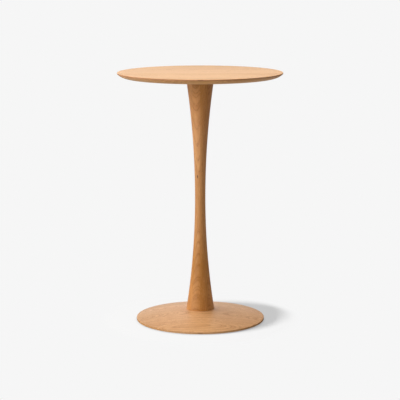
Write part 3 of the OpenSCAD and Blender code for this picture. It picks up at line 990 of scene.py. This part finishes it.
def make_oak(slot, knots=(), edge=None, **values):
    """A material fed by the oak group. Knots are (centre, radius) pairs. Where the surface is
    upright, edge multiplies the colour by a painted shade."""
    figure = new_material(slot, oak_figure, values)
    tree = figure.id_data
    for label, output in (("Timber", "Vector"), ("Tone", "Fac"), ("Seam", "Fac")):
        attribute = wire(tree, "ShaderNodeAttribute", attribute_name=label.lower())
        feed(figure, {label: attribute.outputs[output]})
    colour = figure.outputs["Color"]
    for centre, radius in knots:
        knot = {"Place": object_place(tree), "Centre": centre, "Radius": radius}
        mask = wire(tree, "ShaderNodeGroup", knot, node_tree=pin_knot).outputs["Mask"]
        colour = mix(mask, colour, KNOT_COLOUR)
    # Painted shade: the colour darkens where the surface stands upright.
    if edge:
        facing = wire(tree, "ShaderNodeNewGeometry").outputs["Normal"]
        upright = calc("ABSOLUTE", wire(tree, "ShaderNodeSeparateXYZ", {0: facing}).outputs[2])
        colour = mix(step(upright, *EDGE_PAINTED_SHADE_LIMITS, 1.0, 0.0), colour, edge, "MULTIPLY")
    coat(figure, colour, *GRAIN_BUMP, {"Specular IOR Level": LACQUER_SHINE})


make_oak("top_oak", edge=EDGE_PAINTED_SHADE, Pale=(0.81, 0.450, 0.175), Dark=(0.605, 0.270, 0.073),
         Mottle=0.35, Deepen=0.7)
make_oak("column_oak", knots=[(KNOT_CENTRE, KNOT_RADIUS)], Pale=(0.675, 0.318, 0.097),
         Dark=(0.435, 0.144, 0.026), Contrast=0.68)
make_oak("base_oak", Pale=(0.725, 0.400, 0.177), Dark=(0.445, 0.172, 0.037),
         Contrast=0.60, Mottle=0.50, Flecks=0.35)
print("materials", *material_of)

# %% [markdown]
# The plates are black powder-coated steel, the fasteners bright zinc, the inserts turned brass and
# the foot pads nylon. Powder coat dries like the skin of an orange, and metal that tools touch loses
# its shine in spots. One group makes both, a fine relief and a soft uneven roughness, and each
# material sets how coarse and how strong they are. The hidden dowels are plain beech.

# %% Fine surface group
SPOT_STRETCH = (38.0, 38.0, 38.0)
SPOT_LIMITS = (0.55, 0.72)


def build_surface():
    """Node group: fine relief, uneven roughness and a slight change of colour, in object space."""
    group, given = new_group("fine_surface", {
        "Place": None, "Color": (0.5, 0.5, 0.5), "Worn": (0.6, 0.6, 0.6),
        "Grain": 2500.0, "Rough": 0.5, "Uneven": 0.15, "Wear": 0.5,
    })
    small = noise(given["Place"], given["Grain"])[0]
    large = noise(given["Place"], SPOT_STRETCH, detail=4.0)[0]
    worn = times(step(large, *SPOT_LIMITS), given["Wear"])
    return give_out(group, Color=mix(worn, given["Color"], given["Worn"]),
                    Roughness=plus(given["Rough"], swing(large, given["Uneven"])), Height=small)


fine_surface = build_surface()

# %% Metal, nylon and dowel materials
PLAIN_BUMP = 0.5


def make_plain(slot, metallic, relief, **values):
    """A material fed by the fine surface group."""
    surface = new_material(slot, fine_surface, values)
    feed(surface, {"Place": object_place(surface.id_data)})
    coat(surface, surface.outputs["Color"], PLAIN_BUMP, relief, {"Metallic": metallic})


make_plain("black_steel", 0.0, 0.0001, Color=(0.020, 0.020, 0.022), Worn=(0.060, 0.060, 0.062),
           Grain=1100.0, Rough=0.55, Wear=0.4)
make_plain("zinc_steel", 1.0, 0.00002, Color=(0.60, 0.61, 0.63), Worn=(0.42, 0.42, 0.40),
           Rough=0.32, Uneven=0.25)
make_plain("insert_metal", 1.0, 0.00002, Color=(0.74, 0.56, 0.26), Worn=(0.50, 0.36, 0.16),
           Rough=0.30, Uneven=0.2)
make_plain("foot_nylon", 0.0, 0.00005, Color=(0.045, 0.040, 0.036), Worn=(0.09, 0.08, 0.07),
           Grain=1500.0)
make_plain("beech_dowel", 0.0, 0.0001, Color=(0.56, 0.36, 0.20), Worn=(0.42, 0.25, 0.13),
           Grain=700.0, Rough=0.6, Uneven=0.1, Wear=0.8)
print("materials", *material_of)

# %% [markdown]
# Now every new piece is tied to the frame: it rides on a body, stands for its CAD node and names
# its material slot. The CAD nodes that stay get a material, and nothing else about them changes.

# %% Tie the pieces to the frame
slot_of = {part["node"]: part["material_slot"] for part in frame["record"]["subparts"]}
bodies = frame["record"]["behaviour"]["bodies"]
body_of = {node: body for body, nodes in bodies.items() for node in nodes}
wooden = [*top_pieces, *base_pieces, *column_pieces]
new_pieces = [*wooden, *stem_pieces, *pad_pieces, rod_piece, nut_piece]
replaced = []

for piece in new_pieces:
    node = piece.name.split("_", 1)[1]
    piece.data.materials.append(material_of[slot_of[node]])
    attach(piece, body_of[node])
    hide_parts(node)
    replaced.append(node)

for node, piece in frame["nodes"].items():
    if node not in replaced:
        piece.data.materials.clear()
        piece.data.materials.append(material_of[slot_of[node]])
print(len(new_pieces), "new pieces,", len(frame["nodes"]) - len(replaced), "CAD nodes kept")

# %% [markdown]
# The shading of the photograph tells its lights apart. The column is bright on its left almost up to
# the top, so the key light stands low on the left and a little in front. The upper face and the base
# catch a second light from the left behind, a third hangs almost above the table, and a weak broad
# one fills the shadows from the upper right.
#
# All are painted on the world as round patches. Azimuths count from the left, so 90 is the camera's
# side and 180 the right. How far a direction is from a patch's middle follows from their dot
# product, the cosine of the angle between them.


# %% Light the table
def outward(azimuth, elevation):
    """Unit vector from the table toward a light, from two angles in degrees."""
    a, b = np.radians([azimuth, elevation])
    return np.array([-np.cos(a) * np.cos(b), -np.sin(a) * np.cos(b), np.sin(b)])


def patch(direction, azimuth, elevation, inner, outer, brightness):
    """A round patch of light, full up to inner degrees from its middle and gone at outer."""
    dot = vector_calc("DOT_PRODUCT", direction, tuple(outward(azimuth, elevation)))
    edge = step(dot, np.cos(np.radians(outer)), np.cos(np.radians(inner)))
    return times(edge, brightness)


world = bpy.data.worlds.new("studio")
world.use_nodes = True
bpy.context.scene.world = world
direction = wire(world.node_tree, "ShaderNodeTexCoord").outputs["Generated"]
key = patch(direction, azimuth=32, elevation=18, inner=10, outer=30, brightness=5.2)
window = patch(direction, azimuth=-48, elevation=41, inner=14, outer=34, brightness=2.4)
ceiling = patch(direction, azimuth=0, elevation=75, inner=16, outer=36, brightness=2.15)
fill = patch(direction, azimuth=180, elevation=52, inner=20, outer=50, brightness=0.92)
lit = plus(plus(key, window), plus(ceiling, fill))
print("world with", len(world.node_tree.nodes), "nodes")

# %% [markdown]
# What the lacquer mirrors is a different matter: its shine shows a pale wall behind the table, a
# little to the left, and hardly anything else. So glossy rays get a world of their own, and the
# camera sees nothing but the plain backdrop.

# %% What is mirrored and what is seen
MIRRORED_ROOM = 0.04
BACKDROP = 0.922


def choose(factor, first, second):
    """First where factor is 0, second where it is 1."""
    values = {0: factor, 2: first, 3: second}
    return wire(factor.id_data, "ShaderNodeMix", values, data_type="FLOAT").outputs[0]


def ray_kinds(tree):
    """Masks for the rays that lacquer mirrors, and for those that the camera sees, also through
    something clear."""
    path = wire(tree, "ShaderNodeLightPath").outputs
    seen = calc("MAXIMUM", path["Is Camera Ray"], path["Is Transmission Ray"])
    return path["Is Glossy Ray"], seen


wall = patch(direction, azimuth=-80, elevation=18, inner=10, outer=30, brightness=1.45)
glossy, seen = ray_kinds(world.node_tree)
brightness = choose(seen, choose(glossy, lit, plus(wall, MIRRORED_ROOM)), BACKDROP)
feed(world.node_tree.nodes["Background"], {"Strength": brightness, "Color": (1.0, 1.0, 1.0)})

# %% [markdown]
# The floor is one large pale sheet. The shadow on it is short, deep and soft, and lies to the right
# and a little behind, which needs a light still lower than the one on the column: a wide low panel
# far to the left. Light linking lets that lamp shine on the floor alone.

# %% The floor and its lamp
FLOOR_REACH = 150.0
PANEL_DISTANCE = 40.0
PANEL_AZIMUTH = 31.0
PANEL_ELEVATION = 8.5
PANEL_HALF_WIDTH = 18.0
PANEL_HEIGHT = 1.55
PANEL_POWER = 785000.0

corner = FLOOR_REACH * np.array([[-1, -1, 0], [1, -1, 0], [1, 1, 0], [-1, 1, 0]])
floor_mesh = bpy.data.meshes.new("floor")
floor_mesh.from_pydata(corner.tolist(), [], [(0, 1, 2, 3)])
floor = add_object("floor", floor_mesh)

panel = add_object("floor_light", bpy.data.lights.new("floor_light", "AREA"))
panel.data.shape = "RECTANGLE"
panel.data.size = 2 * PANEL_DISTANCE * np.tan(np.radians(PANEL_HALF_WIDTH))
panel.data.size_y = PANEL_HEIGHT
panel.data.energy = PANEL_POWER
panel.location = PANEL_DISTANCE * outward(PANEL_AZIMUTH, PANEL_ELEVATION)
panel.rotation_euler = (-panel.location).to_track_quat("-Z", "Y").to_euler()
receivers = bpy.data.collections.new("floor_only")
receivers.objects.link(floor)
panel.light_linking.receiver_collection = receivers
print("panel", round(panel.data.size, 1), "m wide, at", [round(v, 2) for v in panel.location])

# %% [markdown]
# The paper is matt and, for any ray but the camera's, rather grey. It sends only a little light
# back, which keeps the underside of the top as deep as in the photograph. The camera sees a glow on
# top of it, so that the shadow takes away only the paper's share. Under the base the glow is weaker,
# as hardly any light gets in there. Far from the table the camera sees the plain backdrop.

# %% The floor's paper
PAPER = 0.05
BOUNCE = 0.045
GLOW = 0.477
GLOW_BELOW = 0.30
RIM_SHADE = (base_radius - 0.015, base_radius + 0.012)
SHADOW_NEAR = 0.375
SHADOW_FAR = 0.44

paper = bpy.data.materials.new("studio_paper")
paper.use_nodes = True
tree = paper.node_tree
tree.nodes.remove(tree.nodes["Principled BSDF"])
seen = ray_kinds(tree)[1]
distance = vector_calc("LENGTH", object_place(tree))
shine = plus(times(seen, step(distance, *RIM_SHADE, GLOW_BELOW, GLOW)), BOUNCE)
matt = wire(tree, "ShaderNodeBsdfDiffuse", {"Color": (PAPER, PAPER, PAPER)}).outputs[0]
glow = wire(tree, "ShaderNodeEmission", {"Strength": shine}).outputs[0]
near = wire(tree, "ShaderNodeAddShader", {0: matt, 1: glow}).outputs[0]
even = wire(tree, "ShaderNodeEmission", {"Strength": BACKDROP}).outputs[0]
far = times(seen, step(distance, SHADOW_NEAR, SHADOW_FAR))
shown = wire(tree, "ShaderNodeMixShader", {0: far, 1: near, 2: even}).outputs[0]
feed(tree.nodes["Material Output"], {"Surface": shown})
floor.data.materials.append(paper)
print("paper with", len(tree.nodes), "nodes")

# %% [markdown]
# Colours should come out as they are written, so the view transform is Standard.

# %% Finish
bpy.context.scene.view_settings.view_transform = "Standard"
